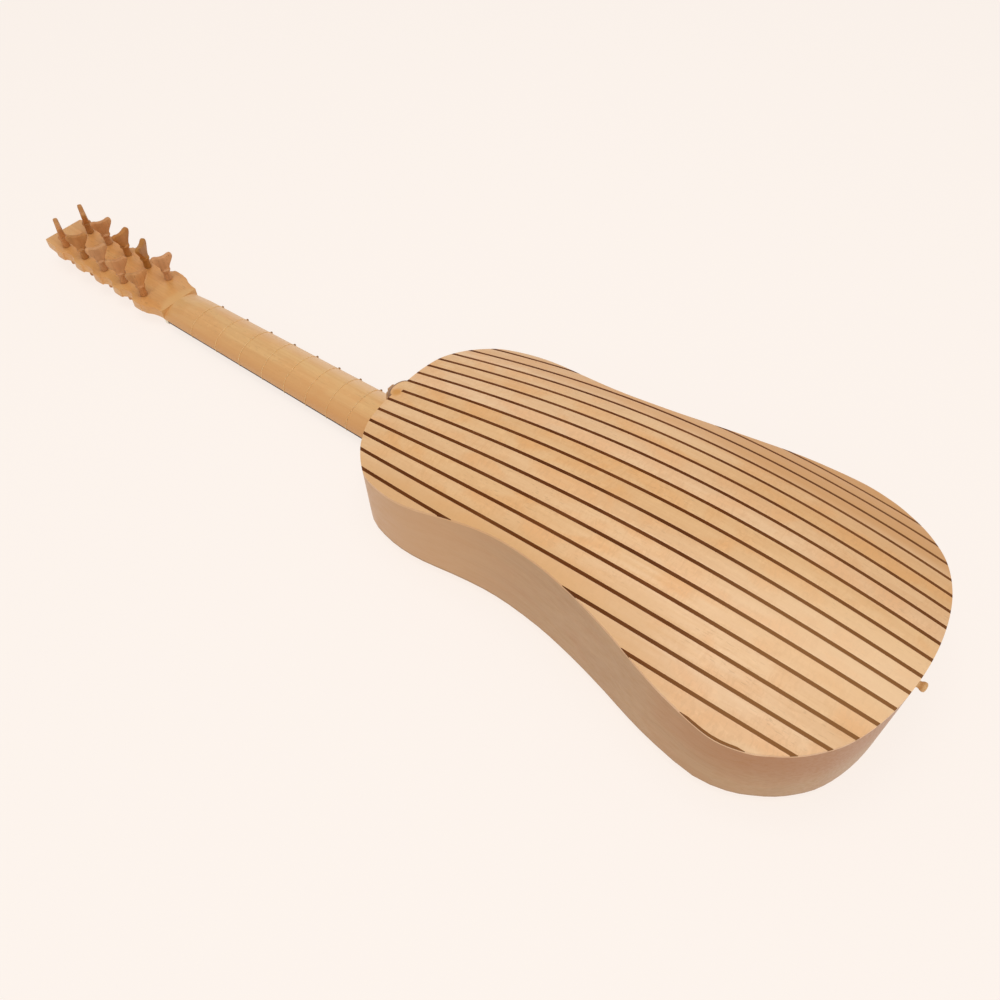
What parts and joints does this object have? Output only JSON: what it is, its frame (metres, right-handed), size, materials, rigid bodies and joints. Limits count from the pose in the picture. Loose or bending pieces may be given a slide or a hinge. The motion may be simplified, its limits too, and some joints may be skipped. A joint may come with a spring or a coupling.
{
  "type": "baroque guitar",
  "caption": "Long-waisted plucked instrument with a vaulted striped back, deep sides, tied frets, paired strings and a flat pegged head.",
  "frame": {"origin": "middle of the bounding box, at its lowest point, where the bridge rests on the surface", "axes": "+X from the head to the tail, +Z from the soundboard to the back, so that the guitar lies face down"},
  "size_m": [0.9612, 0.2478, 0.1121],
  "materials": {
    "stave_wood": "varnished light wood with flecks and orange patches",
    "fillet_wood": "dark inlaid strips under varnish",
    "rib_wood": "varnished bent sides",
    "neck_wood": "varnished, worn smooth",
    "spruce": "fine straight grain, satin",
    "ebony": "dark, satin",
    "bone": "polished bone",
    "peg_wood": "turned fruitwood, satin",
    "gut": "translucent gut",
    "parchment": "pierced parchment"
  },
  "bodies": {
    "guitar": {"back_staves": "stave_wood", "bridge": "ebony", "end_block": "spruce", "end_button": "neck_wood", "fillet_centre": "fillet_wood", "fillet_left_1": "fillet_wood", "fillet_left_2": "fillet_wood", "fillet_left_3": "fillet_wood", "fillet_left_4": "fillet_wood", "fillet_left_5": "fillet_wood", "fillet_left_6_lower": "fillet_wood", "fillet_left_6_upper": "fillet_wood", "fillet_left_7": "fillet_wood", "fillet_left_8": "fillet_wood", "fillet_right_1": "fillet_wood", "fillet_right_2": "fillet_wood", "fillet_right_3": "fillet_wood", "fillet_right_4": "fillet_wood", "fillet_right_5": "fillet_wood", "fillet_right_6": "fillet_wood", "fillet_right_7_lower": "fillet_wood", "fillet_right_7_upper": "fillet_wood", "fillet_right_8": "fillet_wood", "fingerboard": "ebony", "head": "neck_wood", "neck": "neck_wood", "neck_block": "spruce", "nut": "bone", "rib_left": "rib_wood", "rib_right": "rib_wood", "rose": "parchment", "soundboard": "spruce", "string_left_1": "gut", "string_left_2": "gut", "string_left_3": "gut", "string_left_4": "gut", "string_left_5": "gut", "string_right_1": "gut", "string_right_2": "gut", "string_right_3": "gut", "string_right_4": "gut", "string_right_5": "gut"},
    "peg_far_1": {"peg_far_1": "peg_wood"},
    "peg_far_2": {"peg_far_2": "peg_wood"},
    "peg_far_3": {"peg_far_3": "peg_wood"},
    "peg_far_4": {"peg_far_4": "peg_wood"},
    "peg_far_5": {"peg_far_5": "peg_wood"},
    "peg_near_1": {"peg_near_1": "peg_wood"},
    "peg_near_2": {"peg_near_2": "peg_wood"},
    "peg_near_3": {"peg_near_3": "peg_wood"},
    "peg_near_4": {"peg_near_4": "peg_wood"},
    "peg_near_5": {"peg_near_5": "peg_wood"},
    "tied_fret_1": {"tied_fret_1": "gut"},
    "tied_fret_2": {"tied_fret_2": "gut"},
    "tied_fret_3": {"tied_fret_3": "gut"},
    "tied_fret_4": {"tied_fret_4": "gut"},
    "tied_fret_5": {"tied_fret_5": "gut"},
    "tied_fret_6": {"tied_fret_6": "gut"},
    "tied_fret_7": {"tied_fret_7": "gut"},
    "tied_fret_8": {"tied_fret_8": "gut"}
  },
  "joints": [
    {"name": "peg_far_1_turn", "type": "hinge", "parent": "guitar", "child": "peg_far_1", "pos_m": [-0.32458, 0.0164, 0.01397], "axis": [0.0523, 0, 0.9986], "continuous": true},
    {"name": "peg_far_2_turn", "type": "hinge", "parent": "guitar", "child": "peg_far_2", "pos_m": [-0.35674, 0.0156, 0.01565], "axis": [0.0523, 0, 0.9986], "continuous": true},
    {"name": "peg_far_3_turn", "type": "hinge", "parent": "guitar", "child": "peg_far_3", "pos_m": [-0.3889, 0.0156, 0.01734], "axis": [0.0523, 0, 0.9986], "continuous": true},
    {"name": "peg_far_4_turn", "type": "hinge", "parent": "guitar", "child": "peg_far_4", "pos_m": [-0.42105, 0.0156, 0.01903], "axis": [0.0523, 0, 0.9986], "continuous": true},
    {"name": "peg_far_5_turn", "type": "hinge", "parent": "guitar", "child": "peg_far_5", "pos_m": [-0.45321, 0.0156, 0.02071], "axis": [0.0523, 0, 0.9986], "continuous": true},
    {"name": "peg_near_1_turn", "type": "hinge", "parent": "guitar", "child": "peg_near_1", "pos_m": [-0.32458, -0.0164, 0.01397], "axis": [0.0523, 0, 0.9986], "continuous": true},
    {"name": "peg_near_2_turn", "type": "hinge", "parent": "guitar", "child": "peg_near_2", "pos_m": [-0.35674, -0.0156, 0.01565], "axis": [0.0523, 0, 0.9986], "continuous": true},
    {"name": "peg_near_3_turn", "type": "hinge", "parent": "guitar", "child": "peg_near_3", "pos_m": [-0.3889, -0.0156, 0.01734], "axis": [0.0523, 0, 0.9986], "continuous": true},
    {"name": "peg_near_4_turn", "type": "hinge", "parent": "guitar", "child": "peg_near_4", "pos_m": [-0.42105, -0.0156, 0.01903], "axis": [0.0523, 0, 0.9986], "continuous": true},
    {"name": "peg_near_5_turn", "type": "hinge", "parent": "guitar", "child": "peg_near_5", "pos_m": [-0.45321, -0.0156, 0.02071], "axis": [0.0523, 0, 0.9986], "continuous": true},
    {"name": "tied_fret_1_slide", "type": "slide", "parent": "guitar", "child": "tied_fret_1", "axis": [1, 0, 0], "range_m": [-0.003, 0.003]},
    {"name": "tied_fret_2_slide", "type": "slide", "parent": "guitar", "child": "tied_fret_2", "axis": [1, 0, 0], "range_m": [-0.003, 0.003]},
    {"name": "tied_fret_3_slide", "type": "slide", "parent": "guitar", "child": "tied_fret_3", "axis": [1, 0, 0], "range_m": [-0.003, 0.003]},
    {"name": "tied_fret_4_slide", "type": "slide", "parent": "guitar", "child": "tied_fret_4", "axis": [1, 0, 0], "range_m": [-0.003, 0.003]},
    {"name": "tied_fret_5_slide", "type": "slide", "parent": "guitar", "child": "tied_fret_5", "axis": [1, 0, 0], "range_m": [-0.003, 0.003]},
    {"name": "tied_fret_6_slide", "type": "slide", "parent": "guitar", "child": "tied_fret_6", "axis": [1, 0, 0], "range_m": [-0.003, 0.003]},
    {"name": "tied_fret_7_slide", "type": "slide", "parent": "guitar", "child": "tied_fret_7", "axis": [1, 0, 0], "range_m": [-0.003, 0.003]},
    {"name": "tied_fret_8_slide", "type": "slide", "parent": "guitar", "child": "tied_fret_8", "axis": [1, 0, 0], "range_m": [-0.003, 0.003]}
  ]
}
